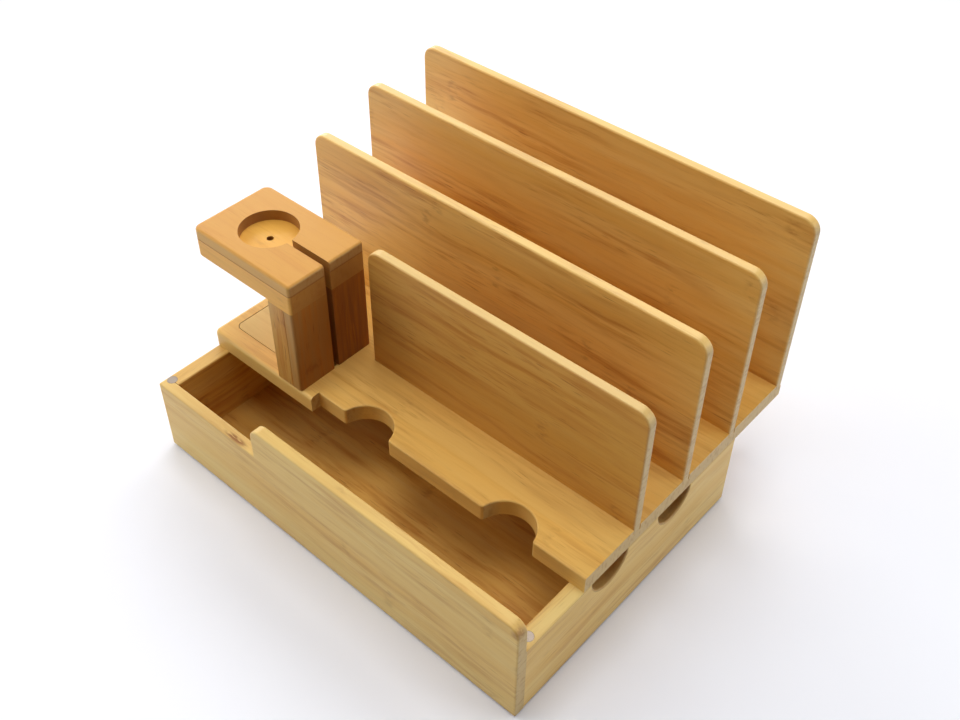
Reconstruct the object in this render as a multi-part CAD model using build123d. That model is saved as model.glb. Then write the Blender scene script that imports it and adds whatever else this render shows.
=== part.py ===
from build123d import *
import os

# A bamboo charging station: an open box with a front lip, a loose deck that slides on the
# box's walls and carries four upright dividers, and a watch stand whose foot plate drops
# into a pocket of the deck. It stands as photographed, with the deck drawn back.
# Millimetres. The origin is on the floor under the middle of the whole station, X runs to
# the right, Y to the back and Z up.

# Box
box_width = 227.0
box_depth = 156.5
wall_height = 42.6
side_thickness = 8.0
front_thickness = 5.8
back_thickness = 6.0
bottom_thickness = 4.0
rabbet_width = 4.0
board_rounding = 0.8

# Half-round cable ports, cut in the top edges of the side and back walls
port_radius = 12.2
side_port_shares = (0.362, 0.674)
back_port_share = 0.5

# Lip: the right part of the front panel, which stands higher than the deck
lip_rise = 9.8
lip_end_radius = 6.0

# Feet
foot_diameter = 10.0
foot_height = 2.0
foot_pocket_depth = 1.0
foot_inset = 16.0

# Deck
deck_thickness = 9.0
deck_drawn_back = 36.0
deck_back_overhang = 2.1
deck_left_overhang = 2.0
deck_rounding = 0.8
deck_left_rounding = 2.0
tongue_margin = 6.4
tongue_projection = 5.2
tongue_corner_radius = 3.4
front_port_radius = 13.8
front_port_setback = 1.5
front_port_shares = (0.2, 0.735)
front_port_corner_radius = 1.6

# Dividers
divider_thickness = 5.0
first_divider_height = 68.0
second_divider_height = 80.3
third_divider_height = 91.7
fourth_divider_height = 95.6
front_bay_depth = 33.0
divider_place_shares = (0.0, 0.318, 0.641, 1.0)
first_divider_gap = 3.4
divider_corner_radius = 7.0
divider_rounding = 0.9
groove_depth = 3.0

# Disc magnets, let into the wall tops and into the deck's underside
magnet_diameter = 5.0
magnet_thickness = 2.0
front_magnet_setback = 5.0
back_magnet_setback = 8.0

# Watch stand
stand_length = 66.2
stand_left_overhang = 1.2
stand_width = 45.5
top_layer_thickness = 5.6
under_layer_thickness = 10.4
post_height = 47.4
post_thickness = 10.0
cheek_thickness = 5.8
stand_corner_radius = 4.0
stand_end_radius = 1.6
joint_easing = 0.3
stand_rounding = 1.4
puck_recess_diameter = 28.6
puck_recess_setback = 27.6
cable_slot_width = 3.2
push_hole_diameter = 3.4

# Foot plate of the watch stand, and the cable hole under it
foot_plate_thickness = 4.5
foot_plate_width = 26.5
foot_plate_left_margin = 6.6
foot_plate_right_margin = 1.5
foot_plate_corner_radius = 3.2
cable_hole_length = 13.0
cable_hole_width = 7.0

# Screws through the foot plate into the post, and dowels from the post into the plate above
screw_diameter = 3.0
screw_head_diameter = 6.0
screw_head_height = 1.6
screw_tip_height = 2.5
screw_tip_diameter = 1.5
screw_length = 20.0
screw_spacing = 18.0
dowel_diameter = 5.0
dowel_length = 14.0
dowel_spacing = 24.0

# Clearances
slide_clearance = 0.3
tongue_clearance = 0.5
pocket_clearance = 0.4
fit_gap = 0.1
cut_overrun = 2.0
plane_tolerance = 0.01

# Places across the station
left = (stand_left_overhang + deck_left_overhang - box_width) / 2
right = left + box_width
deck_left = left - deck_left_overhang
inner_left = left + side_thickness
inner_right = right - side_thickness
stand_left = deck_left - stand_left_overhang
stand_right = stand_left + stand_length
tongue_right = stand_right + tongue_margin
lip_left = tongue_right + tongue_clearance
divider_lefts = [tongue_right + first_divider_gap, left, left, left]
cheek_left = stand_right - cheek_thickness
post_left = cheek_left - post_thickness

# Places from front to back
closed_gap = front_thickness + slide_clearance
deck_depth = box_depth - closed_gap + deck_back_overhang
front = -(closed_gap + deck_drawn_back + deck_depth) / 2
wall_front = front + front_thickness
box_back = front + box_depth
inner_back = box_back - back_thickness
deck_front = front + closed_gap + deck_drawn_back
deck_back = deck_front + deck_depth
tongue_front = deck_front - tongue_projection
divider_run = deck_depth - front_bay_depth - divider_thickness
divider_fronts = [
    deck_front + front_bay_depth + share * divider_run for share in divider_place_shares
]
stand_front = tongue_front
stand_back = stand_front + stand_width
stand_middle = (stand_front + stand_back) / 2
slot_front = stand_middle - cable_slot_width / 2
slot_back = stand_middle + cable_slot_width / 2

# Heights
box_bottom = foot_height - foot_pocket_depth
inside_floor = box_bottom + bottom_thickness
wall_top = box_bottom + wall_height
deck_top = wall_top + deck_thickness
lip_top = deck_top + lip_rise
groove_floor = deck_top - groove_depth
pocket_floor = deck_top - foot_plate_thickness
post_top = deck_top + post_height
under_layer_top = post_top + under_layer_thickness
stand_top = under_layer_top + top_layer_thickness

# Places that several pieces share
puck_x = stand_left + puck_recess_setback
foot_plate_left = deck_left + foot_plate_left_margin
foot_plate_right = stand_right - foot_plate_right_margin
foot_plate_front = stand_middle - foot_plate_width / 2
foot_plate_back = stand_middle + foot_plate_width / 2
cable_notch_left = cheek_left - cable_slot_width / 2
post_middle = (post_left + cheek_left) / 2
left_wall_middle = left + side_thickness / 2
right_wall_middle = right - side_thickness / 2
screw_places = [(post_middle, stand_middle + side * screw_spacing / 2) for side in (-1, 1)]
dowel_places = [(post_middle, stand_middle + side * dowel_spacing / 2) for side in (-1, 1)]
dowel_bottom = post_top - dowel_length / 2
foot_places = [
    (x, y)
    for x in (left + foot_inset, right - foot_inset)
    for y in (front + foot_inset, box_back - foot_inset)
]

# The wall magnets lie under the deck's corners when the deck is pushed home
closed_deck_front = front + closed_gap
closed_tongue_front = closed_deck_front - tongue_projection
wall_magnet_places = [
    (deck_left + front_magnet_setback, closed_tongue_front + front_magnet_setback),
    (right_wall_middle, closed_deck_front + front_magnet_setback),
    (left_wall_middle, box_back - back_magnet_setback),
    (right_wall_middle, box_back - back_magnet_setback),
]
deck_magnet_places = [(x, y + deck_drawn_back) for x, y in wall_magnet_places]
wall_magnet_bottom = wall_top - magnet_thickness

divider_heights = (
    first_divider_height,
    second_divider_height,
    third_divider_height,
    fourth_divider_height,
)
standing_on_base = (Align.CENTER, Align.CENTER, Align.MIN)


def block(x0, x1, y0, y1, z0, z1):
    """A plain block between its left and right, front and back, lower and upper planes."""
    middle = Pos((x0 + x1) / 2, (y0 + y1) / 2, (z0 + z1) / 2)
    return middle * Box(x1 - x0, y1 - y0, z1 - z0)


def upright_cylinder(x, y, bottom, radius, height):
    """A vertical cylinder that stands on the given height."""
    return Pos(x, y, bottom) * Cylinder(radius, height, align=standing_on_base)


def round_bar(middle, turn, radius, length):
    """A cylinder about the given middle, turned from the vertical to lie along X or Y."""
    return Pos(*middle) * Rot(*turn) * Cylinder(radius, length)


def edges_on_plane(solid, axis, place):
    """The edges of a solid that lie in the plane across an axis at the given place."""
    return solid.edges().filter_by_position(axis, place - plane_tolerance, place + plane_tolerance)


def discs(places, bottom, diameter, thickness):
    """Like discs, one on each place, as one group of separate solids."""
    return Compound(
        children=[upright_cylinder(x, y, bottom, diameter / 2, thickness) for x, y in places]
    )


def sink(board, places, bottom, diameter, height):
    """A board with a round pocket at each place, a little wider than the disc in it."""
    for x, y in places:
        board -= upright_cylinder(x, y, bottom, diameter / 2 + fit_gap, height)
    return board


def with_magnet_pockets(board):
    """A wall with open pockets in its top for those magnets that lie in it."""
    depth = magnet_thickness + cut_overrun
    return sink(board, wall_magnet_places, wall_magnet_bottom, magnet_diameter, depth)


def rabbeted(board):
    """A wall with the step along its lower inner edge that takes the bottom panel."""
    step_left = inner_left - rabbet_width
    step_right = inner_right + rabbet_width
    step_front = wall_front - rabbet_width
    step_back = inner_back + rabbet_width
    below = box_bottom - cut_overrun
    return board - block(step_left, step_right, step_front, step_back, below, inside_floor)


def make_front_panel():
    """The front board: low at the left for the deck's tongue, with the lip on the rest."""
    low_board = block(left, right, front, wall_front, box_bottom, wall_top)
    lip = block(lip_left, right, front, wall_front, wall_top, lip_top)
    lip_ends = lip.edges().filter_by(Axis.Y).group_by(Axis.Z)[-1]
    board = low_board + fillet(lip_ends, lip_end_radius)
    front_outline = edges_on_plane(board, Axis.Y, front)
    inner_top = edges_on_plane(board, Axis.Y, wall_front).filter_by(
        lambda edge: edge.bounding_box().min.Z > wall_top - board_rounding
    )
    left_top = edges_on_plane(board, Axis.X, left).filter_by(Axis.Y).sort_by(Axis.Z)[-1]
    at_right_wall = block(inner_right, right, front + board_rounding, wall_front, box_bottom, wall_top)
    square_corner = board & at_right_wall
    board = fillet(front_outline + inner_top + left_top, board_rounding) + square_corner
    return rabbeted(with_magnet_pockets(board))


def make_side_wall(outer, inner):
    """A side board behind the front panel, with two half-round ports in its top edge."""
    board = block(min(outer, inner), max(outer, inner), wall_front, box_back, box_bottom, wall_top)
    for share in side_port_shares:
        port_y = wall_front + share * (box_back - wall_front)
        middle = ((outer + inner) / 2, port_y, wall_top)
        board -= round_bar(middle, (0, 90, 0), port_radius, side_thickness + cut_overrun)
    top_edges = edges_on_plane(board, Axis.Z, wall_top).filter_by(Axis.Y)
    port_rims = board.edges().filter_by(GeomType.CIRCLE)
    outer_edges = edges_on_plane(board, Axis.X, outer)
    lower_edge = outer_edges.filter_by(Axis.Y).sort_by(Axis.Z)[0]
    back_edge = outer_edges.filter_by(Axis.Z).sort_by(Axis.Y)[-1]
    board = fillet(top_edges + port_rims + lower_edge + back_edge, board_rounding)
    return rabbeted(with_magnet_pockets(board))


def make_back_wall():
    """The back board between the side walls, with one half-round port for the power cord."""
    board = block(inner_left, inner_right, inner_back, box_back, box_bottom, wall_top)
    port_x = inner_left + back_port_share * (inner_right - inner_left)
    middle = (port_x, (inner_back + box_back) / 2, wall_top)
    board -= round_bar(middle, (90, 0, 0), port_radius, back_thickness + cut_overrun)
    return rabbeted(fillet(board.edges().filter_by(GeomType.CIRCLE), board_rounding))


def make_bottom_panel():
    """The thin panel let into the steps of the four walls, with pockets for the feet."""
    panel = block(
        inner_left - rabbet_width,
        inner_right + rabbet_width,
        wall_front - rabbet_width,
        inner_back + rabbet_width,
        box_bottom,
        inside_floor,
    )
    return sink(panel, foot_places, box_bottom, foot_diameter, foot_pocket_depth)


def make_deck():
    """The deck board: tongue, front ports, grooves, stand pocket, cable hole, magnet pockets."""
    board = block(deck_left, right, deck_front, deck_back, wall_top, deck_top)
    board += block(deck_left, tongue_right, tongue_front, deck_front, wall_top, deck_top)
    tongue_corner = edges_on_plane(board, Axis.Y, tongue_front).filter_by(Axis.Z).sort_by(Axis.X)[0]
    board = fillet(tongue_corner, tongue_corner_radius)
    left_edge = edges_on_plane(board, Axis.X, deck_left).filter_by(Axis.Y).sort_by(Axis.Z)[-1]
    board = fillet(left_edge, deck_left_rounding)
    for share in front_port_shares:
        port_x = tongue_right + share * (right - tongue_right)
        port_y = deck_front - front_port_setback
        height = deck_thickness + cut_overrun
        board -= upright_cylinder(port_x, port_y, wall_top - cut_overrun / 2, front_port_radius, height)
    front_corners = edges_on_plane(board, Axis.Y, deck_front).filter_by(Axis.Z).sort_by(Axis.X)
    board = fillet(front_corners[1:-1], front_port_corner_radius)
    front_edges = edges_on_plane(board, Axis.Y, deck_front).filter_by(Axis.X).group_by(Axis.Z)[-1]
    board = fillet(front_edges, deck_rounding)
    for place, divider_front in enumerate(divider_fronts):
        groove_right = right + cut_overrun
        groove_back = divider_front + divider_thickness
        groove_top = deck_top + cut_overrun
        board -= block(
            divider_lefts[place], groove_right, divider_front, groove_back, groove_floor, groove_top
        )
    pocket = block(
        foot_plate_left - pocket_clearance,
        foot_plate_right + pocket_clearance,
        foot_plate_front - pocket_clearance,
        foot_plate_back + pocket_clearance,
        pocket_floor,
        deck_top + cut_overrun,
    )
    board -= fillet(pocket.edges().filter_by(Axis.Z), foot_plate_corner_radius + pocket_clearance)
    cable_hole = block(
        foot_plate_right - cable_hole_length,
        foot_plate_right,
        stand_middle - cable_hole_width / 2,
        stand_middle + cable_hole_width / 2,
        wall_top - cut_overrun,
        deck_top,
    )
    board -= fillet(cable_hole.edges().filter_by(Axis.Z), cable_slot_width)
    return sink(board, deck_magnet_places, wall_top, magnet_diameter, magnet_thickness)


def make_divider(left_end, divider_front, height):
    """An upright board with round top corners, its foot let into a groove of the deck."""
    back_face = divider_front + divider_thickness
    board = block(left_end, right, divider_front, back_face, groove_floor, deck_top + height)
    top_corners = board.edges().filter_by(Axis.Y).group_by(Axis.Z)[-1]
    board = fillet(top_corners, divider_corner_radius)
    top_edges = edges_on_plane(board, Axis.Z, deck_top + height).filter_by(Axis.X)
    return fillet(top_edges, divider_rounding)


def stand_layer(bottom, top):
    """One layer of the stand's plate, its corners rounded and its free sides eased at the glue joint."""
    layer = block(stand_left, stand_right, stand_front, stand_back, bottom, top)
    free_corners = layer.edges().filter_by(Axis.Z).group_by(Axis.X)[0]
    layer = fillet(free_corners, stand_corner_radius)
    joint_outline = edges_on_plane(layer, Axis.Z, under_layer_top).sort_by(Axis.X)
    layer = chamfer(joint_outline[:-1], joint_easing)
    post_corners = layer.edges().filter_by(Axis.Z).group_by(Axis.X)[-1]
    return fillet(post_corners, stand_end_radius)


def make_stand_top_layer():
    """The upper layer: the puck's round recess and the cable slot go right through it."""
    layer = stand_layer(under_layer_top, stand_top)
    layer = fillet(edges_on_plane(layer, Axis.Z, stand_top), stand_rounding)
    below = under_layer_top - cut_overrun
    height = top_layer_thickness + cut_overrun + cut_overrun
    layer -= upright_cylinder(puck_x, stand_middle, below, puck_recess_diameter / 2, height)
    slot_end = stand_right + cut_overrun
    return layer - block(puck_x, slot_end, slot_front, slot_back, below, stand_top + cut_overrun)


def make_stand_under_layer():
    """The lower layer: the recess's floor, with a push-out hole and the slot over the post."""
    plain = stand_layer(post_top, under_layer_top)
    over_post = block(post_left, stand_right, stand_front, stand_back, post_top, under_layer_top)
    layer = fillet(edges_on_plane(plain, Axis.Z, post_top), stand_rounding) + (plain & over_post)
    below = post_top - cut_overrun
    height = under_layer_thickness + cut_overrun + cut_overrun
    layer -= upright_cylinder(puck_x, stand_middle, below, push_hole_diameter / 2, height)
    slot_top = under_layer_top + cut_overrun
    layer -= block(cheek_left, stand_right + cut_overrun, slot_front, slot_back, below, slot_top)
    return sink(layer, dowel_places, dowel_bottom, dowel_diameter, dowel_length + fit_gap)


def make_stand_post():
    """The inner board of the post, bored for the dowels above and the screws below."""
    board = block(post_left, cheek_left, stand_front, stand_back, deck_top, post_top)
    board = sink(board, dowel_places, dowel_bottom - fit_gap, dowel_diameter, dowel_length)
    return sink(board, screw_places, deck_top, screw_diameter, screw_length)


def make_cheek(cheek_front, cheek_back):
    """One of the two outer boards of the post, beside the cable slot."""
    board = block(cheek_left, stand_right, cheek_front, cheek_back, deck_top, post_top)
    outer_side = max(cheek_front, cheek_back, key=lambda place: abs(place - stand_middle))
    joint_edge = edges_on_plane(board, Axis.Y, outer_side).filter_by(Axis.Z).sort_by(Axis.X)[0]
    board = chamfer(joint_edge, joint_easing)
    free_edge = edges_on_plane(board, Axis.Y, outer_side).filter_by(Axis.Z).sort_by(Axis.X)[-1]
    return fillet(free_edge, stand_end_radius)


def screw(x, y):
    """A countersunk screw, its head flush with the foot plate's underside."""
    head = Cone(screw_head_diameter / 2, screw_diameter / 2, screw_head_height, align=standing_on_base)
    shank_length = screw_length - screw_tip_height - screw_head_height
    shank = Cylinder(screw_diameter / 2, shank_length, align=standing_on_base)
    tip = Cone(screw_diameter / 2, screw_tip_diameter / 2, screw_tip_height, align=standing_on_base)
    body = head + Pos(0, 0, screw_head_height) * shank
    body += Pos(0, 0, screw_head_height + shank_length) * tip
    return Pos(x, y, pocket_floor) * body


def make_foot_plate():
    """The stand's foot: flush in the deck's pocket, with countersinks and the cable's notch."""
    plate = block(
        foot_plate_left, foot_plate_right, foot_plate_front, foot_plate_back, pocket_floor, deck_top
    )
    plate = fillet(plate.edges().filter_by(Axis.Z), foot_plate_corner_radius)
    for x, y in screw_places:
        head_radius = screw_head_diameter / 2 + fit_gap
        hole_radius = screw_diameter / 2 + fit_gap
        countersink = Cone(head_radius, hole_radius, screw_head_height, align=standing_on_base)
        plate -= Pos(x, y, pocket_floor) * countersink
        plate -= upright_cylinder(x, y, pocket_floor, hole_radius, foot_plate_thickness + cut_overrun)
    notch_right = foot_plate_right + cut_overrun
    notch_bottom = pocket_floor - cut_overrun
    notch_top = deck_top + cut_overrun
    return plate - block(cable_notch_left, notch_right, slot_front, slot_back, notch_bottom, notch_top)


pieces = {
    "front_panel": make_front_panel(),
    "left_wall": make_side_wall(left, inner_left),
    "right_wall": make_side_wall(right, inner_right),
    "back_wall": make_back_wall(),
    "bottom_panel": make_bottom_panel(),
    "wall_magnets": discs(wall_magnet_places, wall_magnet_bottom, magnet_diameter, magnet_thickness),
    "rubber_feet": discs(foot_places, 0, foot_diameter, foot_height),
    "deck": make_deck(),
    "deck_magnets": discs(deck_magnet_places, wall_top, magnet_diameter, magnet_thickness),
    "stand_top_layer": make_stand_top_layer(),
    "stand_under_layer": make_stand_under_layer(),
    "stand_post": make_stand_post(),
    "stand_front_cheek": make_cheek(stand_front, slot_front),
    "stand_back_cheek": make_cheek(slot_back, stand_back),
    "stand_foot_plate": make_foot_plate(),
    "stand_screws": Compound(children=[screw(x, y) for x, y in screw_places]),
    "stand_dowels": discs(dowel_places, dowel_bottom, dowel_diameter, dowel_length),
}
for place, divider_front in enumerate(divider_fronts):
    divider = make_divider(divider_lefts[place], divider_front, divider_heights[place])
    pieces[f"divider_{place + 1}"] = divider

os.makedirs("parts", exist_ok=True)
for name, piece in pieces.items():
    export_step(piece, f"parts/{name}.step")
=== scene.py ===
import math
from typing import NamedTuple

import bpy
from bpy.props import FloatProperty, FloatVectorProperty, PointerProperty
from bpy.types import Node, NodeSocket, Operator, Panel, PropertyGroup
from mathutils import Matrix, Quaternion, Vector


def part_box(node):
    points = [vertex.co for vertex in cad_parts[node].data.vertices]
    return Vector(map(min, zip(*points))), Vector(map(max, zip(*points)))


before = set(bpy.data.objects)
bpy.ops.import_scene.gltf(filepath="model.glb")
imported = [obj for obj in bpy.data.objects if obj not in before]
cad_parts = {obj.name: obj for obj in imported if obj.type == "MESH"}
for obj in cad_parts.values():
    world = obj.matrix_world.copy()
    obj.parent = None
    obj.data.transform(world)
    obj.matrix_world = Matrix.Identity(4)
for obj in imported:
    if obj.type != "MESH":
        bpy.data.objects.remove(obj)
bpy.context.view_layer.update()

bl_info = {
    "name": "Bamboo charging station",
    "version": (1, 0, 0),
    "blender": (4, 5, 0),
    "location": "View3D > Sidebar > Station",
    "description": "Finishes the boards, fixings and stage of a bamboo charging station",
    "category": "Object",
}

MM = 0.001


class Lie(NamedTuple):
    """How a board's strips lie.

    turn takes the station's axes to along the grain, across it and through the board, in degrees.
    grain and through are two of those directions in the station's axes.
    """

    turn: tuple
    grain: tuple
    through: tuple


FLAT = Lie(turn=(0.0, 0.0, 0.0), grain=(1.0, 0.0, 0.0), through=(0.0, 0.0, 1.0))
UPRIGHT = Lie(turn=(-90.0, 0.0, 0.0), grain=(1.0, 0.0, 0.0), through=(0.0, 1.0, 0.0))
SIDE = Lie(turn=(-90.0, -90.0, 0.0), grain=(0.0, 1.0, 0.0), through=(1.0, 0.0, 0.0))
STANDING = Lie(turn=(0.0, 90.0, 0.0), grain=(0.0, 0.0, 1.0), through=(1.0, 0.0, 0.0))


class Board(NamedTuple):
    """One board of laminated bamboo.

    cut is where in the panel it was sawn from, in millimetres, figure how strongly its grain is marked,
    amber and toasted how warm and how brown it is, partly its own tone and partly painted shade, set warmer
    and browner on the boards that stand in shade; burn how brown its ends are and how little its edges
    pale, partly saw burn and partly painted shade on ends that face away from the lamps; and routed how
    brown it paints the places that shade_and_stain_at names: painted shade on the walls of the recess, slot
    and ports and on the rounded corner at the lip's right end, a dark glue seam and a stain beside the lip.
    """

    lie: Lie
    cut: tuple
    figure: float
    amber: float = 0.0
    toasted_and_shade: float = 0.0
    burn_and_shade: float = 0.0
    shade_and_stain: float = 0.0
    shade_and_stain_at: str = ""


# Each board's amber and toasted shares are partly its own tone and partly painted shade: the back wall,
# left wall and bottom panel, in the shade inside the box, are browner for it
BOX_BOARDS = {
    "front_panel": Board(UPRIGHT, (110, 3, 20), 0.6, toasted_and_shade=0.02, shade_and_stain=0.92, shade_and_stain_at="corners"),
    "back_wall": Board(
        UPRIGHT, (520, 31, 50), 0.9, amber=0.4, toasted_and_shade=0.46, shade_and_stain=0.45, shade_and_stain_at="ports"
    ),
    "left_wall": Board(SIDE, (830, 45, 70), 0.9, amber=0.3, toasted_and_shade=0.12, shade_and_stain=0.45, shade_and_stain_at="ports"),
    "right_wall": Board(SIDE, (1370, 8, 90), 0.55, shade_and_stain=0.45, shade_and_stain_at="ports"),
    "bottom_panel": Board(FLAT, (1710, 52, 30), 1.0, amber=0.6, toasted_and_shade=0.24),
}
DECK_BOARDS = {"deck": Board(FLAT, (2130, 17, 40), 0.52, amber=0.42)}
# The first divider is warmer and browner than the rest partly as painted shade for the shade it stands in
DIVIDERS = {
    "divider_1": Board(UPRIGHT, (2900, 0, 0), 1.15, amber=0.75, toasted_and_shade=0.36),
    "divider_2": Board(UPRIGHT, (3270, 19, 11), 0.95, amber=0.5, toasted_and_shade=0.04),
    "divider_3": Board(UPRIGHT, (3640, 38, 22), 0.95, amber=0.48, toasted_and_shade=0.1),
    "divider_4": Board(UPRIGHT, (4010, 57, 33), 0.85, amber=0.25),
}
# The stand's post and cheeks are toasted and burned brown partly as painted shade on faces that turn away
# from the lamps
STAND_BOARDS = {
    "stand_top_layer": Board(
        FLAT, (4700, 0, 0), 0.6, amber=0.9, toasted_and_shade=0.44, burn_and_shade=0.65, shade_and_stain=0.6, shade_and_stain_at="recess"
    ),
    "stand_under_layer": Board(
        FLAT, (5110, 23, 13), 0.5, amber=0.85, toasted_and_shade=0.12, burn_and_shade=0.92, shade_and_stain=0.55, shade_and_stain_at="recess"
    ),
    "stand_post": Board(STANDING, (5520, 46, 26), 1.5, amber=0.5, toasted_and_shade=0.45, burn_and_shade=0.9),
    "stand_front_cheek": Board(STANDING, (5930, 69, 39), 1.5, amber=0.6, toasted_and_shade=0.8, burn_and_shade=0.6),
    "stand_back_cheek": Board(STANDING, (6340, 92, 52), 1.5, amber=0.6, toasted_and_shade=1.0, burn_and_shade=0.9),
    "stand_foot_plate": Board(FLAT, (6750, 115, 65), 0.2),
}


class Mark(NamedTuple):
    """One kind of darker mark along the grain, whose length and width are settings under its name.

    It begins to show where its noise reaches start and is at its strongest from full on.
    tint names the colour setting that it leans to.
    """

    name: str
    detail: float
    start: float
    full: float
    strength: float
    tint: str


MARKS = (
    Mark("wisp", detail=1.5, start=0.45, full=0.7, strength=0.62, tint="streak"),
    Mark("dash", detail=1.0, start=0.54, full=0.72, strength=0.42, tint="streak"),
    Mark("fibre", detail=3.0, start=0.48, full=0.75, strength=0.1, tint="streak"),
    Mark("fleck", detail=1.0, start=0.65, full=0.77, strength=0.55, tint="knuckle"),
)

# Detail of a noise, and the values between which most of it lies
SMOOTH, BROKEN, FINE, FINEST = 1.0, 2.0, 3.0, 4.0
NOISE_LOW, NOISE_HIGH = 0.3, 0.7

# The puck's recess and the cable slot in the stand's plate, and the seam between its two layers
PLATE_LOW, PLATE_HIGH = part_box("stand_top_layer")
RECESS_SETBACK = 27.6 * MM
RECESS_RADIUS = 14.3 * MM
SLOT_HALF_WIDTH = 1.6 * MM
SEAM_HALF_HEIGHT = 0.4 * MM
RECESS_AXIS = (PLATE_LOW[0] + RECESS_SETBACK, (PLATE_LOW[1] + PLATE_HIGH[1]) / 2, 0.0)

# Height of the side and back walls, in whose top edges the cable ports are
WALL_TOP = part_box("right_wall")[1][2]


class BrownSpot(NamedTuple):
    """A brown spot painted on a board, as an oval of the given half-sizes."""

    middle: tuple
    half_size: tuple
    strength: float


# The front panel's brown spots: a stain on its low edge beside the lip, and painted shade on the rounded
# corner at the lip's right end
PANEL_LOW, PANEL_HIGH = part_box("front_panel")
LIP_LEFT = -42.0 * MM
BROWN_SPOTS = (
    BrownSpot(
        middle=(LIP_LEFT - 14.0 * MM, PANEL_LOW[1] + 1.7 * MM, WALL_TOP),
        half_size=(10.0 * MM, 2.1 * MM, 1.6 * MM),
        strength=1.0,
    ),
    BrownSpot(
        middle=(PANEL_HIGH[0] - 1.8 * MM, PANEL_LOW[1] + 1.8 * MM, PANEL_HIGH[2] - 3.6 * MM),
        half_size=(3.4 * MM, 4.4 * MM, 3.6 * MM),
        strength=0.6,
    ),
)

# Sockets of a Mix node: its factor, and the two values of a number or of a colour
FACTOR = 0
NUMBER_A, NUMBER_B = 2, 3
COLOUR_A, COLOUR_B = 6, 7

UP = (0.0, 0.0, 1.0)
WHITE = (1.0, 1.0, 1.0, 1.0)
LAMPS = ("left", "top", "back", "right", "side", "front")

# Width of the camera's sensor in millimetres, the unit that Blender gives it in
SENSOR_WIDTH = 36.0


def to_linear(hex_colour):
    """An sRGB hex colour as linear red, green and blue."""
    channels = [int(hex_colour[place:place + 2], 16) / 255 for place in (1, 3, 5)]
    return [c / 12.92 if c <= 0.04045 else ((c + 0.055) / 1.055) ** 2.4 for c in channels]


def colour(name, description, hex_colour):
    """A colour setting."""
    return FloatVectorProperty(
        name=name, description=description, subtype="COLOR", size=3, min=0.0, max=1.0,
        default=to_linear(hex_colour),
    )


def length(name, description, millimetres):
    """A length setting, given in millimetres."""
    return FloatProperty(name=name, description=description, unit="LENGTH", default=millimetres * MM)


def share(name, description, value):
    """A setting between nothing and all."""
    return FloatProperty(
        name=name, description=description, subtype="FACTOR", min=0.0, max=1.0, default=value
    )


def power(name, description, watts):
    """A lamp's power setting, given in watts."""
    return FloatProperty(name=name, description=description, unit="POWER", default=watts)


def point(name, description, place):
    """A setting for a point, given in metres."""
    return FloatVectorProperty(
        name=name, description=description, subtype="TRANSLATION", precision=5, default=place
    )


class BambooSettings(PropertyGroup):
    """Colours and grain of the laminated bamboo boards."""

    pale: colour("Pale strip", "Colour of the palest strips", "#EAD28A")
    golden: colour("Golden strip", "Colour of the most golden strips", "#DBAA54")
    amber: colour("Amber board", "Colour that the warmer boards lean to", "#EFB044")
    # Boards, ends and cuts lean to this colour for their own brown and for painted shade
    toasted_and_shade: colour("Toasted board", "Colour that the steamed, browner boards lean to", "#8C5426")
    streak: colour("Streak", "Colour of the darker fibre streaks", "#B06A20")
    knuckle: colour("Knuckle", "Colour of the growth rings across a strip", "#84471A")
    # Narrow faces lean to this colour: partly their edge grain, partly painted highlight
    edge: colour("Edge", "Colour that sanded edges lean to", "#D9BD77")
    end_grain: colour("End grain", "Colour of sawn ends", "#BDA576")
    strip_width: length("Strip width", "Width of one bamboo strip", 12.0)
    layer_thickness: length("Layer thickness", "Thickness of one bamboo strip", 5.0)
    cloud_length: length("Cloud length", "Length of the broad changes of shade along the grain", 140.0)
    cloud_width: length("Cloud width", "Width of the broad changes of shade", 9.0)
    patch_length: length("Patch length", "Length of the patches in which the marks gather", 90.0)
    patch_width: length("Patch width", "Width of the patches in which the marks gather", 11.0)
    quiet: share("Quiet", "How strong the marks are between those patches", 0.25)
    wisp_length: length("Wisp length", "Length of the soft darker wisps along the grain", 52.0)
    wisp_width: length("Wisp width", "Width of the soft darker wisps", 3.5)
    dash_length: length("Dash length", "Length of the short brown dashes", 16.0)
    dash_width: length("Dash width", "Width of the short brown dashes", 1.2)
    fibre_length: length("Fibre length", "Length of the fine fibres along the grain", 40.0)
    fibre_width: length("Fibre width", "Spacing of the fine fibres, as coarse as shows", 0.7)
    fleck_length: length("Fleck length", "Length of the short dark flecks", 12.0)
    fleck_width: length("Fleck width", "Width of the short dark flecks", 0.7)
    knuckle_spacing: length("Knuckle spacing", "Distance between growth rings along a strip", 240.0)
    knuckle_width: length("Knuckle width", "Width of a growth ring", 5.0)
    smudge_length: length("Smudge length", "Length of the smudges that a growth ring breaks into", 5.0)
    smudge_width: length("Smudge width", "Width of the smudges that a growth ring breaks into", 2.0)
    sway_length: length("Sway length", "Distance over which the grain sways", 45.0)
    sway: length("Sway", "How far the grain sways from straight", 3.0)
    joint_width: length("Joint width", "Width of the line between two strips", 0.3)
    pore_width: length("Pore width", "Width of the pores on sawn ends, as coarse as shows", 1.8)
    pore_length: length("Pore length", "Length of the pores on sawn ends, through the board", 4.0)
    # Bits that the front panel's brown spots, a stain and a painted shade, break into
    spot_bit_length: length("Scorch length", "Length of the bits that a scorched spot breaks into", 6.0)
    spot_bit_width: length("Scorch width", "Width of the bits that a scorched spot breaks into", 1.2)
    grain_depth: length("Grain depth", "Height of the fibres under the lacquer", 0.03)
    roughness: share("Roughness", "Roughness of the satin lacquer", 0.4)
    gloss: share("Gloss", "Specular level of the lacquer", 0.25)
    divider_gloss: share("Divider gloss", "Specular level of the dividers' thicker lacquer", 0.42)


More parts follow.
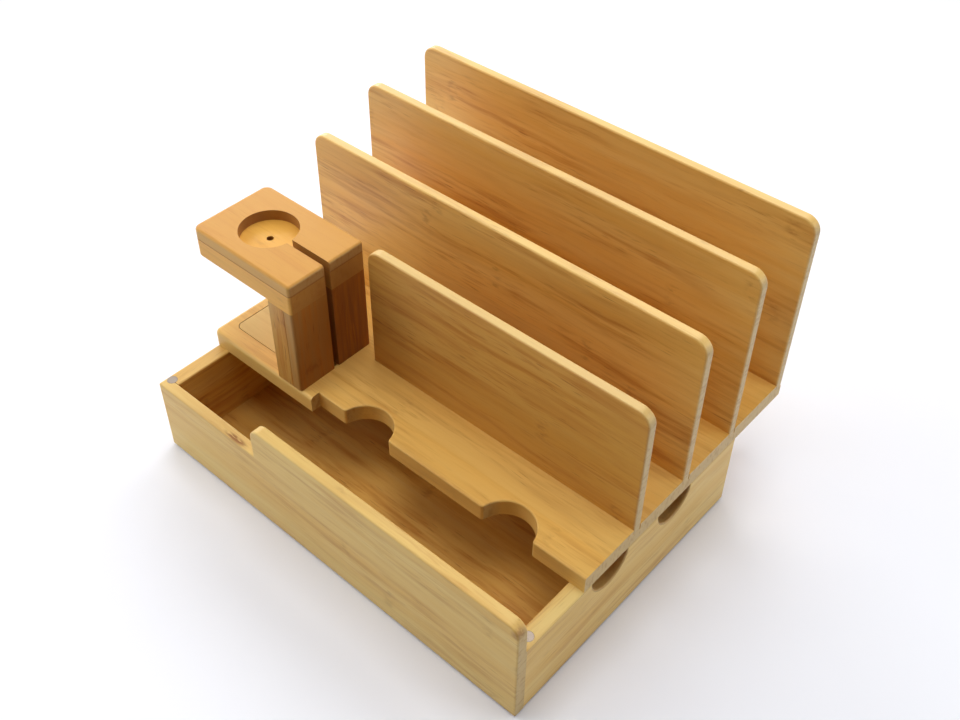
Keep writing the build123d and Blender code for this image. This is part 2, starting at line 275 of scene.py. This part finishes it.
class FixingSettings(PropertyGroup):
    """Colours and surfaces of the small fixings."""

    nickel: colour("Nickel", "Nickel plating on the magnets", "#887C70")
    nickel_roughness: share("Nickel roughness", "Roughness of the nickel plating", 0.35)
    zinc: colour("Zinc", "Zinc plating on the screws", "#B4B8BC")
    zinc_roughness: share("Zinc roughness", "Roughness of the zinc plating", 0.4)
    beech: colour("Beech", "Bare beech dowels", "#DCC194")
    rubber: colour("Rubber", "Rubber of the feet", "#232323")
    scratch_width: length("Scratch width", "Spacing of fine scratches on plated metal", 0.25)
    scratch_depth: length("Scratch depth", "Depth of fine scratches on plated metal", 0.01)
    pit_width: length("Pit width", "Spacing of the pits on moulded rubber", 0.4)
    pit_depth: length("Pit depth", "Depth of the pits on moulded rubber", 0.05)
    ray_length: length("Ray length", "Length of the short flecks in beech", 3.0)
    ray_width: length("Ray width", "Width of the short flecks in beech", 0.4)
    ray_depth: length("Ray depth", "Depth of the short flecks in beech", 0.03)


class StageSettings(PropertyGroup):
    """Floor, lights and camera."""

    floor: colour("Floor", "Colour of the studio floor", "#F0F1F6")
    floor_size: length("Floor size", "Side of the floor", 8000.0)
    floor_tint: colour("Floor tint", "Colour of the extra white of the floor", "#DCE4FF")
    floor_glow: share("Floor glow", "Extra white of the floor in the picture alone", 0.07)
    white_start: length("White start", "Distance at which the floor begins to whiten", 160.0)
    white_full: length("White full", "Distance at which the floor is all white", 700.0)
    room: share("Room light", "Strength of the even light from all around", 0.0)
    left_power: power("Left lamp", "Power of the lamp low at the left", 5.3)
    left_place: point("Left lamp place", "Middle of the lamp low at the left", (-0.88, -0.51, 0.41))
    top_power: power("Top lamp", "Power of the lamp overhead", 11.9)
    top_place: point("Top lamp place", "Middle of the lamp overhead", (0.0, 0.0, 1.6))
    back_power: power("Back lamp", "Power of the lamp high behind", 9.6)
    back_place: point("Back lamp place", "Middle of the lamp high behind", (-0.27, 0.99, 1.23))
    right_power: power("Right lamp", "Power of the lamp low at the right", 7.6)
    right_place: point("Right lamp place", "Middle of the lamp low at the right", (1.28, 0.74, 0.60))
    side_power: power("Side lamp", "Power of the lamp low behind at the left", 11.0)
    side_place: point("Side lamp place", "Middle of the lamp low behind at the left", (-1.28, 0.74, 0.60))
    front_power: power("Front lamp", "Power of the lamp high in front at the left", 3.6)
    front_place: point(
        "Front lamp place", "Middle of the lamp high in front at the left", (-0.66, -0.79, 1.23)
    )
    lamp_size: length("Lamp size", "Side of each lamp", 900.0)
    camera_place: point("Camera place", "Where the camera stands", (0.26314, -0.29201, 0.43993))
    camera_aim: point("Camera aim", "Point that the camera looks at", (-0.0305, 0.0388, 0.0346))
    camera_roll: FloatProperty(
        name="Camera roll", description="Turn of the camera about its view", subtype="ANGLE",
        default=math.radians(0.3),
    )
    lens: FloatProperty(
        name="Lens", description="Focal length on a 36 mm sensor", unit="CAMERA", default=43.3
    )
    shift_x: FloatProperty(name="Shift X", description="Sideways shift of the frame", default=0.0089)
    shift_y: FloatProperty(name="Shift Y", description="Upward shift of the frame", default=-0.0293)


class StationSettings(PropertyGroup):
    """All settings of the charging station."""

    bamboo: PointerProperty(type=BambooSettings)
    fixings: PointerProperty(type=FixingSettings)
    stage: PointerProperty(type=StageSettings)


def add_node(tree, kind, inputs, **settings):
    """Adds a node with its settings, and fills its inputs from values or from other nodes."""
    node = tree.nodes.new(kind)
    for name, value in settings.items():
        setattr(node, name, value)
    for socket, value in inputs.items():
        if isinstance(value, Node):
            value = next(output for output in value.outputs if output.enabled)
        if isinstance(value, NodeSocket):
            tree.links.new(value, node.inputs[socket])
        else:
            node.inputs[socket].default_value = value
    return node


def new_material(name):
    """An empty node material and its tree."""
    material = bpy.data.materials.new(name)
    material.use_nodes = True
    material.node_tree.nodes.clear()
    return material, material.node_tree


def opaque(linear):
    """A linear colour with full alpha."""
    return (*linear, 1.0)


def streaks(tree, place, along, across, detail):
    """Noise drawn out along the grain: fibres or streaks of the given length and width."""
    scaled = add_node(
        tree, "ShaderNodeVectorMath", {0: place, 1: (1 / along, 1 / across, 1 / across)},
        operation="MULTIPLY",
    )
    return add_node(tree, "ShaderNodeTexNoise", {"Vector": scaled, "Scale": 1.0, "Detail": detail})


def bamboo_grain(tree, straight, board):
    """Colour along the grain, and the fibres' noise for sheen and relief."""
    cloud_share = 0.6
    patch_start, patch_full = 0.4, 0.6
    ring_start, ring_full, ring_strength = 0.45, 0.65, 0.35
    joint_strength = 0.15

    look = bpy.context.scene.station.bamboo
    sway_noise = streaks(tree, straight, look.sway_length, look.sway_length, SMOOTH)
    place = add_node(
        tree, "ShaderNodeVectorMath",
        {0: sway_noise.outputs["Color"], 1: (0.0, look.sway, look.sway), 2: straight},
        operation="MULTIPLY_ADD",
    )
    # Warmer and browner boards: partly their own tone, partly painted shade on boards that stand in shade
    warm, brown = Vector(look.amber), Vector(look.toasted_and_shade)
    pale, golden = [
        opaque(Vector(strip).lerp(warm, board.amber).lerp(brown, board.toasted_and_shade))
        for strip in (look.pale, look.golden)
    ]

    # Each strip has its own shade, which drifts slowly along and across it
    strip_cell = add_node(
        tree, "ShaderNodeVectorMath",
        {0: straight, 1: (0.0, 1 / look.strip_width, 1 / look.layer_thickness)},
        operation="MULTIPLY",
    )
    strip_number = add_node(tree, "ShaderNodeVectorMath", {0: strip_cell}, operation="FLOOR")
    strip_shade = add_node(tree, "ShaderNodeTexWhiteNoise", {"Vector": strip_number})
    cloud_noise = streaks(tree, place, look.cloud_length, look.cloud_width, BROKEN)
    cloud = add_node(
        tree, "ShaderNodeMapRange",
        {"Value": cloud_noise, "From Min": NOISE_LOW, "From Max": NOISE_HIGH},
    )
    mixed_shade = add_node(
        tree, "ShaderNodeMix", {FACTOR: cloud_share, NUMBER_A: strip_shade, NUMBER_B: cloud},
        data_type="FLOAT",
    )
    shade = add_node(
        tree, "ShaderNodeMapRange",
        {"Value": mixed_shade, "To Min": (1.0 - board.figure) / 2, "To Max": (1.0 + board.figure) / 2},
    )
    colour_now = add_node(
        tree, "ShaderNodeMix", {FACTOR: shade, COLOUR_A: pale, COLOUR_B: golden}, data_type="RGBA"
    )

    # Wisps, dashes, fine fibres and short flecks, each darker than the ground, gather in patches
    patches = streaks(tree, place, look.patch_length, look.patch_width, SMOOTH)
    mark_noises = {}
    for mark in MARKS:
        mark_length = getattr(look, f"{mark.name}_length")
        mark_width = getattr(look, f"{mark.name}_width")
        mark_noises[mark.name] = streaks(tree, place, mark_length, mark_width, mark.detail)
        strength = mark.strength * board.figure
        depth = add_node(
            tree, "ShaderNodeMapRange",
            {"Value": patches, "From Min": patch_start, "From Max": patch_full,
             "To Min": look.quiet * strength, "To Max": strength},
        )
        mark_mask = add_node(
            tree, "ShaderNodeMapRange",
            {"Value": mark_noises[mark.name], "From Min": mark.start, "From Max": mark.full,
             "To Max": depth},
        )
        colour_now = add_node(
            tree, "ShaderNodeMix",
            {FACTOR: mark_mask, COLOUR_A: colour_now, COLOUR_B: opaque(getattr(look, mark.tint))},
            data_type="RGBA",
        )

    # A growth ring crosses each strip at its own place, broken into smudges
    axes = add_node(tree, "ShaderNodeSeparateXYZ", {"Vector": straight})
    smudge_noise = streaks(tree, place, look.smudge_length, look.smudge_width, BROKEN)
    ring_place = add_node(
        tree, "ShaderNodeMath", {0: strip_shade, 1: look.knuckle_spacing, 2: axes.outputs["X"]},
        operation="MULTIPLY_ADD",
    )
    ring_distance = add_node(
        tree, "ShaderNodeMath", {0: ring_place, 1: look.knuckle_spacing / 2}, operation="PINGPONG"
    )
    ring_depth = add_node(
        tree, "ShaderNodeMapRange",
        {"Value": smudge_noise, "From Min": ring_start, "From Max": ring_full,
         "To Max": ring_strength * board.figure},
    )
    ring_mask = add_node(
        tree, "ShaderNodeMapRange",
        {"Value": ring_distance, "From Max": look.knuckle_width, "To Min": ring_depth, "To Max": 0.0},
        interpolation_type="SMOOTHSTEP",
    )
    colour_now = add_node(
        tree, "ShaderNodeMix",
        {FACTOR: ring_mask, COLOUR_A: colour_now, COLOUR_B: opaque(look.knuckle)},
        data_type="RGBA",
    )

    # The glue line between two strips
    joint_distance = add_node(
        tree, "ShaderNodeMath", {0: axes.outputs["Y"], 1: look.strip_width / 2}, operation="PINGPONG"
    )
    joint_mask = add_node(
        tree, "ShaderNodeMapRange",
        {"Value": joint_distance, "From Max": look.joint_width,
         "To Min": joint_strength * board.figure, "To Max": 0.0},
    )
    colour_now = add_node(
        tree, "ShaderNodeMix",
        {FACTOR: joint_mask, COLOUR_A: colour_now, COLOUR_B: opaque(look.streak)},
        data_type="RGBA",
    )
    return colour_now, mark_noises["fibre"]


def turned_to(tree, normal, direction):
    """How squarely the surface faces a direction or its opposite, from 0 to 1."""
    facing = add_node(tree, "ShaderNodeVectorMath", {0: normal, 1: direction}, operation="DOT_PRODUCT")
    return add_node(tree, "ShaderNodeMath", {0: facing.outputs["Value"]}, operation="ABSOLUTE")


def port_shade_mask(tree, object_place):
    """1 on the walls of the half-round cable ports, which face up from below the box's top edge: painted
    shade in the ports.
    """
    skin = 0.6 * MM
    least_slope = 0.1
    facing = add_node(
        tree, "ShaderNodeVectorMath", {0: object_place.outputs["Normal"], 1: UP}, operation="DOT_PRODUCT"
    )
    axes = add_node(tree, "ShaderNodeSeparateXYZ", {"Vector": object_place.outputs["Object"]})
    below = add_node(
        tree, "ShaderNodeMath", {0: axes.outputs["Z"], 1: WALL_TOP - skin}, operation="LESS_THAN"
    )
    return add_node(
        tree, "ShaderNodeMapRange",
        {"Value": facing.outputs["Value"], "From Max": least_slope, "To Max": below},
    )


def recess_shade_and_seam_mask(tree, object_place):
    """1 on the walls of the puck's recess and of the cable slot, where shade is painted, and in the dark
    glue seam of the stand's plate.
    """
    skin = 0.2 * MM
    wall_full, wall_none = 0.75, 0.95
    from_axis = add_node(
        tree, "ShaderNodeVectorMath", {0: object_place.outputs["Object"], 1: RECESS_AXIS},
        operation="SUBTRACT",
    )
    level = add_node(
        tree, "ShaderNodeVectorMath", {0: from_axis, 1: (1.0, 1.0, 0.0)}, operation="MULTIPLY"
    )
    radius = add_node(tree, "ShaderNodeVectorMath", {0: level}, operation="LENGTH")
    in_recess = add_node(
        tree, "ShaderNodeMath", {0: radius.outputs["Value"], 1: RECESS_RADIUS + skin},
        operation="LESS_THAN",
    )

    axes = add_node(tree, "ShaderNodeSeparateXYZ", {"Vector": from_axis})
    aside = add_node(tree, "ShaderNodeMath", {0: axes.outputs["Y"]}, operation="ABSOLUTE")
    near_slot = add_node(
        tree, "ShaderNodeMath", {0: aside, 1: SLOT_HALF_WIDTH + skin}, operation="LESS_THAN"
    )
    slot_side = add_node(tree, "ShaderNodeMath", {0: axes.outputs["X"], 1: 0.0}, operation="GREATER_THAN")
    in_slot = add_node(tree, "ShaderNodeMath", {0: near_slot, 1: slot_side}, operation="MULTIPLY")
    cut_away = add_node(tree, "ShaderNodeMath", {0: in_recess, 1: in_slot}, operation="MAXIMUM")

    from_seam = add_node(
        tree, "ShaderNodeMath", {0: axes.outputs["Z"], 1: PLATE_LOW[2]}, operation="SUBTRACT"
    )
    off_seam = add_node(tree, "ShaderNodeMath", {0: from_seam}, operation="ABSOLUTE")
    in_seam = add_node(
        tree, "ShaderNodeMath", {0: off_seam, 1: SEAM_HALF_HEIGHT}, operation="LESS_THAN"
    )
    # The recess and slot walls get painted shade, the seam its dark glue
    shade_and_seam = add_node(tree, "ShaderNodeMath", {0: cut_away, 1: in_seam}, operation="MAXIMUM")
    return add_node(
        tree, "ShaderNodeMapRange",
        {"Value": turned_to(tree, object_place.outputs["Normal"], UP),
         "From Min": wall_full, "From Max": wall_none, "To Min": shade_and_seam, "To Max": 0.0},
    )


def corner_stain_and_shade_mask(tree, object_place):
    """1 in the front panel's brown spots, a stain beside the lip and painted shade at the lip's right end,
    broken along the grain.
    """
    core_share = 0.3
    break_start, break_full = 0.28, 0.46
    look = bpy.context.scene.station.bamboo
    spots = []
    for brown_spot in BROWN_SPOTS:
        from_middle = add_node(
            tree, "ShaderNodeVectorMath",
            {
                0: object_place.outputs["Object"],
                1: [1 / half for half in brown_spot.half_size],
                2: [-place / half for place, half in zip(brown_spot.middle, brown_spot.half_size)],
            },
            operation="MULTIPLY_ADD",
        )
        distance = add_node(tree, "ShaderNodeVectorMath", {0: from_middle}, operation="LENGTH")
        spots.append(add_node(
            tree, "ShaderNodeMapRange",
            {"Value": distance.outputs["Value"], "From Min": core_share,
             "To Min": brown_spot.strength, "To Max": 0.0},
            interpolation_type="SMOOTHSTEP",
        ))
    low_edge, lip_end = spots
    stain_and_shade = add_node(tree, "ShaderNodeMath", {0: low_edge, 1: lip_end}, operation="MAXIMUM")
    breaks = streaks(tree, object_place.outputs["Object"], look.spot_bit_length, look.spot_bit_width, SMOOTH)
    return add_node(
        tree, "ShaderNodeMapRange",
        {"Value": breaks, "From Min": break_start, "From Max": break_full, "To Max": stain_and_shade},
    )


# Where a board's cuts are painted brown: mostly painted shade, with a dark glue seam and a stain
SHADE_AND_STAIN_MASKS = {"recess": recess_shade_and_seam_mask, "ports": port_shade_mask, "corners": corner_stain_and_shade_mask}


def bamboo(name, board, gloss):
    """Laminated bamboo, planed, sanded and finished with a thin satin lacquer.

    The eye sees strips of slightly different gold, wisps and fine fibres along the grain, a growth
    ring here and there on a strip, paler edges that are partly painted highlight, greyer pored ends,
    browner boards, ends and cuts that are partly painted shade, and a faint sheen from the lacquer.
    """
    edge_full, edge_none, edge_strength = 0.3, 0.9, 0.9
    end_start, end_full, end_strength = 0.7, 0.97, 0.7
    pore_start, pore_full, pore_strength = 0.52, 0.66, 0.45
    smoother, rougher = 0.05, 0.07
    relief_strength = 0.18
    lacquer_ior = 1.5

    look = bpy.context.scene.station.bamboo
    material, tree = new_material(name)
    object_place = add_node(tree, "ShaderNodeTexCoord", {})
    place = add_node(
        tree, "ShaderNodeMapping",
        {
            "Vector": object_place.outputs["Object"],
            "Rotation": [math.radians(angle) for angle in board.lie.turn],
            "Location": [offset * MM for offset in board.cut],
        },
    )
    along_grain, fibre_noise = bamboo_grain(tree, place, board)

    # Narrow faces lean to the paler edge colour, the more so the more amber the board and the less its
    # burn:
    # partly the strips' edge grain, partly painted highlight for the strong light on top edges
    normal = object_place.outputs["Normal"]
    edge_grain_and_highlight_mask = add_node(
        tree, "ShaderNodeMapRange",
        {"Value": turned_to(tree, normal, board.lie.through), "From Min": edge_full, "From Max": edge_none,
         "To Min": edge_strength * board.amber * (1.0 - board.burn_and_shade), "To Max": 0.0},
    )
    edged = add_node(
        tree, "ShaderNodeMix",
        {FACTOR: edge_grain_and_highlight_mask, COLOUR_A: along_grain, COLOUR_B: opaque(look.edge)},
        data_type="RGBA",
    )

    # Sawn ends, where the surface faces along the grain, are greyer, with pores drawn through the board
    end_mask = add_node(
        tree, "ShaderNodeMapRange",
        {"Value": turned_to(tree, normal, board.lie.grain), "From Min": end_start, "From Max": end_full,
         "To Max": end_strength},
    )
    # Ends lean to the toasted colour by burn: partly saw burn, partly painted shade on ends that face away
    # from the lamps
    end_ground = Vector(look.end_grain).lerp(Vector(look.toasted_and_shade), board.burn_and_shade)
    pore_place = add_node(
        tree, "ShaderNodeVectorMath",
        {0: place, 1: (1 / look.pore_length, 1 / look.pore_width, 1 / look.pore_length)},
        operation="MULTIPLY",
    )
    pores = add_node(tree, "ShaderNodeTexNoise", {"Vector": pore_place, "Scale": 1.0, "Detail": BROKEN})
    pore_mask = add_node(
        tree, "ShaderNodeMapRange",
        {"Value": pores, "From Min": pore_start, "From Max": pore_full, "To Max": pore_strength},
    )
    end_colour = add_node(
        tree, "ShaderNodeMix",
        {FACTOR: pore_mask, COLOUR_A: opaque(end_ground), COLOUR_B: opaque(look.knuckle)},
        data_type="RGBA",
    )
    surface = add_node(
        tree, "ShaderNodeMix", {FACTOR: end_mask, COLOUR_A: edged, COLOUR_B: end_colour}, data_type="RGBA"
    )

    # Painted brown where shade_and_stain_at names: painted shade on the walls of the recess, slot and ports
    # and on the rounded corner at the lip's right end, with the dark glue seam of the stand's plate and a
    # stain beside the lip
    if board.shade_and_stain_at:
        shade_and_stain_places = SHADE_AND_STAIN_MASKS[board.shade_and_stain_at](tree, object_place)
        shade_and_stain_mask = add_node(
            tree, "ShaderNodeMath", {0: shade_and_stain_places, 1: board.shade_and_stain}, operation="MULTIPLY"
        )
        surface = add_node(
            tree, "ShaderNodeMix",
            {FACTOR: shade_and_stain_mask, COLOUR_A: surface, COLOUR_B: opaque(look.toasted_and_shade)},
            data_type="RGBA",
        )

    sheen = add_node(
        tree, "ShaderNodeMapRange",
        {"Value": fibre_noise, "From Min": NOISE_LOW, "From Max": NOISE_HIGH,
         "To Min": look.roughness - smoother, "To Max": look.roughness + rougher},
    )
    relief = add_node(
        tree, "ShaderNodeBump",
        {"Height": fibre_noise, "Distance": look.grain_depth, "Strength": relief_strength},
    )
    shader = add_node(
        tree, "ShaderNodeBsdfPrincipled",
        {"Base Color": surface, "Roughness": sheen, "IOR": lacquer_ior, "Specular IOR Level": gloss,
         "Normal": relief},
    )
    add_node(tree, "ShaderNodeOutputMaterial", {"Surface": shader})
    return material


def plated_metal(name, tint, roughness):
    """Plated steel, tumbled before plating: a soft grey mirror with fine scratches in every direction."""
    smoother, rougher = 0.1, 0.15
    dulling = 0.8
    relief_strength = 0.3
    look = bpy.context.scene.station.fixings
    material, tree = new_material(name)
    place = add_node(tree, "ShaderNodeTexCoord", {})
    scratches = add_node(
        tree, "ShaderNodeTexNoise",
        {"Vector": place.outputs["Object"], "Scale": 1 / look.scratch_width, "Detail": FINEST},
    )
    wear = add_node(
        tree, "ShaderNodeMapRange",
        {"Value": scratches, "To Min": roughness - smoother, "To Max": roughness + rougher},
    )
    dulled = add_node(
        tree, "ShaderNodeMix",
        {FACTOR: scratches, COLOUR_A: opaque(tint), COLOUR_B: opaque([dulling * c for c in tint])},
        data_type="RGBA",
    )
    relief = add_node(
        tree, "ShaderNodeBump",
        {"Height": scratches, "Distance": look.scratch_depth, "Strength": relief_strength},
    )
    shader = add_node(
        tree, "ShaderNodeBsdfPrincipled",
        {"Base Color": dulled, "Metallic": 1.0, "Roughness": wear, "Normal": relief},
    )
    add_node(tree, "ShaderNodeOutputMaterial", {"Surface": shader})
    return material


def moulded_rubber(name):
    """Moulded rubber: dull, nearly black, with a fine pitted skin and a trace of dust."""
    dust = 1.8
    least_rough, most_rough = 0.65, 0.85
    relief_strength = 0.4
    look = bpy.context.scene.station.fixings
    material, tree = new_material(name)
    place = add_node(tree, "ShaderNodeTexCoord", {})
    pits = add_node(
        tree, "ShaderNodeTexNoise",
        {"Vector": place.outputs["Object"], "Scale": 1 / look.pit_width, "Detail": FINE},
    )
    dusty = add_node(
        tree, "ShaderNodeMix",
        {FACTOR: pits, COLOUR_A: opaque(look.rubber), COLOUR_B: opaque([dust * c for c in look.rubber])},
        data_type="RGBA",
    )
    dulled = add_node(
        tree, "ShaderNodeMapRange", {"Value": pits, "To Min": least_rough, "To Max": most_rough}
    )
    relief = add_node(
        tree, "ShaderNodeBump", {"Height": pits, "Distance": look.pit_depth, "Strength": relief_strength}
    )
    shader = add_node(
        tree, "ShaderNodeBsdfPrincipled", {"Base Color": dusty, "Roughness": dulled, "Normal": relief}
    )
    add_node(tree, "ShaderNodeOutputMaterial", {"Surface": shader})
    return material


def turned_beech(name):
    """Bare beech, turned to a dowel: pale, dull, with short fine flecks along its length."""
    darker = 0.75
    least_rough, most_rough = 0.5, 0.7
    relief_strength = 0.3
    wood_ior = 1.5
    look = bpy.context.scene.station.fixings
    material, tree = new_material(name)
    object_place = add_node(tree, "ShaderNodeTexCoord", {})
    turn = [math.radians(angle) for angle in STANDING.turn]
    place = add_node(
        tree, "ShaderNodeMapping", {"Vector": object_place.outputs["Object"], "Rotation": turn}
    )
    flecks = streaks(tree, place, look.ray_length, look.ray_width, FINE)
    flecked = add_node(
        tree, "ShaderNodeMix",
        {FACTOR: flecks, COLOUR_A: opaque(look.beech), COLOUR_B: opaque([darker * c for c in look.beech])},
        data_type="RGBA",
    )
    dulled = add_node(
        tree, "ShaderNodeMapRange", {"Value": flecks, "To Min": least_rough, "To Max": most_rough}
    )
    relief = add_node(
        tree, "ShaderNodeBump", {"Height": flecks, "Distance": look.ray_depth, "Strength": relief_strength}
    )
    shader = add_node(
        tree, "ShaderNodeBsdfPrincipled",
        {"Base Color": flecked, "Roughness": dulled, "IOR": wood_ior, "Normal": relief},
    )
    add_node(tree, "ShaderNodeOutputMaterial", {"Surface": shader})
    return material


def seen_directly(tree):
    """1 where a ray comes from the camera, a mirror or glass, and 0 where it carries light."""
    path = add_node(tree, "ShaderNodeLightPath", {})
    looked = add_node(
        tree, "ShaderNodeMath", {0: path.outputs["Is Camera Ray"], 1: path.outputs["Is Glossy Ray"]},
        operation="MAXIMUM",
    )
    return add_node(
        tree, "ShaderNodeMath", {0: looked, 1: path.outputs["Is Transmission Ray"]}, operation="MAXIMUM"
    )


def floor_paper(name):
    """Matt background paper: white, with the station's shadow, and fading to pure white further off."""
    look = bpy.context.scene.station.stage
    material, tree = new_material(name)
    shown = seen_directly(tree)
    matt = add_node(tree, "ShaderNodeBsdfDiffuse", {"Color": opaque(look.floor)})
    glow_strength = add_node(tree, "ShaderNodeMath", {0: shown, 1: look.floor_glow}, operation="MULTIPLY")
    glow = add_node(
        tree, "ShaderNodeEmission", {"Color": opaque(look.floor_tint), "Strength": glow_strength}
    )
    near = add_node(tree, "ShaderNodeAddShader", {0: matt, 1: glow})
    place = add_node(tree, "ShaderNodeTexCoord", {})
    distance = add_node(tree, "ShaderNodeVectorMath", {0: place.outputs["Object"]}, operation="LENGTH")
    fade = add_node(
        tree, "ShaderNodeMapRange",
        {"Value": distance.outputs["Value"], "From Min": look.white_start, "From Max": look.white_full},
        interpolation_type="SMOOTHSTEP",
    )
    whiteness = add_node(tree, "ShaderNodeMath", {0: shown, 1: fade}, operation="MULTIPLY")
    far = add_node(tree, "ShaderNodeEmission", {"Strength": 1.0})
    paper = add_node(tree, "ShaderNodeMixShader", {0: whiteness, 1: near, 2: far})
    add_node(tree, "ShaderNodeOutputMaterial", {"Surface": paper})
    return material


def dress(node, material):
    """Gives a CAD node its material."""
    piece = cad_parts[node]
    for slot in piece.material_slots:
        slot.material = material


def finish_boards(boards, gloss):
    """Finishes the boards of a table, each with its own bamboo, under lacquer of one gloss."""
    for node, board in boards.items():
        dress(node, bamboo(f"Lacquered bamboo, {node.replace('_', ' ')}", board, gloss))


class STATION_OT_box(Operator):
    """Finish the box: front panel, walls and bottom panel"""

    bl_idname = "station.box"
    bl_label = "Box boards"

    def execute(self, context):
        finish_boards(BOX_BOARDS, context.scene.station.bamboo.gloss)
        return {"FINISHED"}


class STATION_OT_deck(Operator):
    """Finish the deck"""

    bl_idname = "station.deck"
    bl_label = "Deck"

    def execute(self, context):
        finish_boards(DECK_BOARDS, context.scene.station.bamboo.gloss)
        return {"FINISHED"}


class STATION_OT_dividers(Operator):
    """Finish the four dividers, each sawn from another part of the panel"""

    bl_idname = "station.dividers"
    bl_label = "Dividers"

    def execute(self, context):
        finish_boards(DIVIDERS, context.scene.station.bamboo.divider_gloss)
        return {"FINISHED"}


class STATION_OT_watch_stand(Operator):
    """Finish the boards of the watch stand"""

    bl_idname = "station.watch_stand"
    bl_label = "Watch stand"

    def execute(self, context):
        finish_boards(STAND_BOARDS, context.scene.station.bamboo.gloss)
        return {"FINISHED"}


class STATION_OT_fixings(Operator):
    """Finish the magnets, screws and dowels"""

    bl_idname = "station.fixings"
    bl_label = "Magnets, screws and dowels"

    def execute(self, context):
        look = context.scene.station.fixings
        nickel = plated_metal("Nickel-plated magnet", look.nickel, look.nickel_roughness)
        dress("wall_magnets", nickel)
        dress("deck_magnets", nickel)
        dress("stand_screws", plated_metal("Zinc-plated screw", look.zinc, look.zinc_roughness))
        dress("stand_dowels", turned_beech("Turned beech dowel"))
        return {"FINISHED"}


class STATION_OT_feet(Operator):
    """Finish the rubber feet"""

    bl_idname = "station.feet"
    bl_label = "Rubber feet"

    def execute(self, context):
        dress("rubber_feet", moulded_rubber("Moulded rubber foot"))
        return {"FINISHED"}


class STATION_OT_stage(Operator):
    """Set the floor, lights and camera"""

    bl_idname = "station.stage"
    bl_label = "Stage"

    def execute(self, context):
        look = context.scene.station.stage
        scene = context.scene
        bpy.ops.object.select_all(action="DESELECT")
        bpy.ops.mesh.primitive_plane_add(size=look.floor_size, location=(0.0, 0.0, 0.0))
        floor = context.active_object
        floor.name = "studio_floor"
        floor.data.materials.append(floor_paper("Matt studio paper"))

        # Each lamp faces the station
        for lamp in LAMPS:
            place = getattr(look, f"{lamp}_place")
            bpy.ops.object.light_add(type="AREA", location=place)
            light = context.active_object
            light.name = f"{lamp}_lamp"
            light.data.shape = "SQUARE"
            light.data.size = look.lamp_size
            light.data.energy = getattr(look, f"{lamp}_power")
            light.rotation_euler = (-Vector(place)).to_track_quat("-Z", "Y").to_euler()

        # The room is white to the eye and in mirrors, and lights the station only by the room light setting
        world = bpy.data.worlds.new("Studio room")
        scene.world = world
        world.use_nodes = True
        tree = world.node_tree
        tree.nodes.clear()
        strength = add_node(
            tree, "ShaderNodeMapRange", {"Value": seen_directly(tree), "To Min": look.room, "To Max": 1.0}
        )
        room = add_node(tree, "ShaderNodeBackground", {"Color": WHITE, "Strength": strength})
        add_node(tree, "ShaderNodeOutputWorld", {"Surface": room})

        bpy.ops.object.camera_add(location=look.camera_place)
        camera = context.active_object
        view = Vector(look.camera_aim) - Vector(look.camera_place)
        turn = view.to_track_quat("-Z", "Y") @ Quaternion(UP, look.camera_roll)
        camera.rotation_euler = turn.to_euler()
        camera.data.sensor_width = SENSOR_WIDTH
        camera.data.lens = look.lens
        camera.data.shift_x = look.shift_x
        camera.data.shift_y = look.shift_y
        scene.camera = camera
        scene.view_settings.view_transform = "Standard"
        return {"FINISHED"}


STEPS = (
    STATION_OT_box,
    STATION_OT_deck,
    STATION_OT_dividers,
    STATION_OT_watch_stand,
    STATION_OT_fixings,
    STATION_OT_feet,
    STATION_OT_stage,
)


class STATION_PT_panel(Panel):
    """Lists the steps that finish the station"""

    bl_idname = "STATION_PT_panel"
    bl_label = "Charging station"
    bl_space_type = "VIEW_3D"
    bl_region_type = "UI"
    bl_category = "Station"

    def draw(self, context):
        for step in STEPS:
            self.layout.operator(step.bl_idname)


CLASSES = (BambooSettings, FixingSettings, StageSettings, StationSettings, *STEPS, STATION_PT_panel)


def register():
    for kind in CLASSES:
        bpy.utils.register_class(kind)
    bpy.types.Scene.station = PointerProperty(type=StationSettings)


def unregister():
    del bpy.types.Scene.station
    for kind in reversed(CLASSES):
        bpy.utils.unregister_class(kind)


def main():
    register()
    for step in STEPS:
        group, name = step.bl_idname.split(".")
        getattr(getattr(bpy.ops, group), name)()


if __name__ == "__main__":
    main()
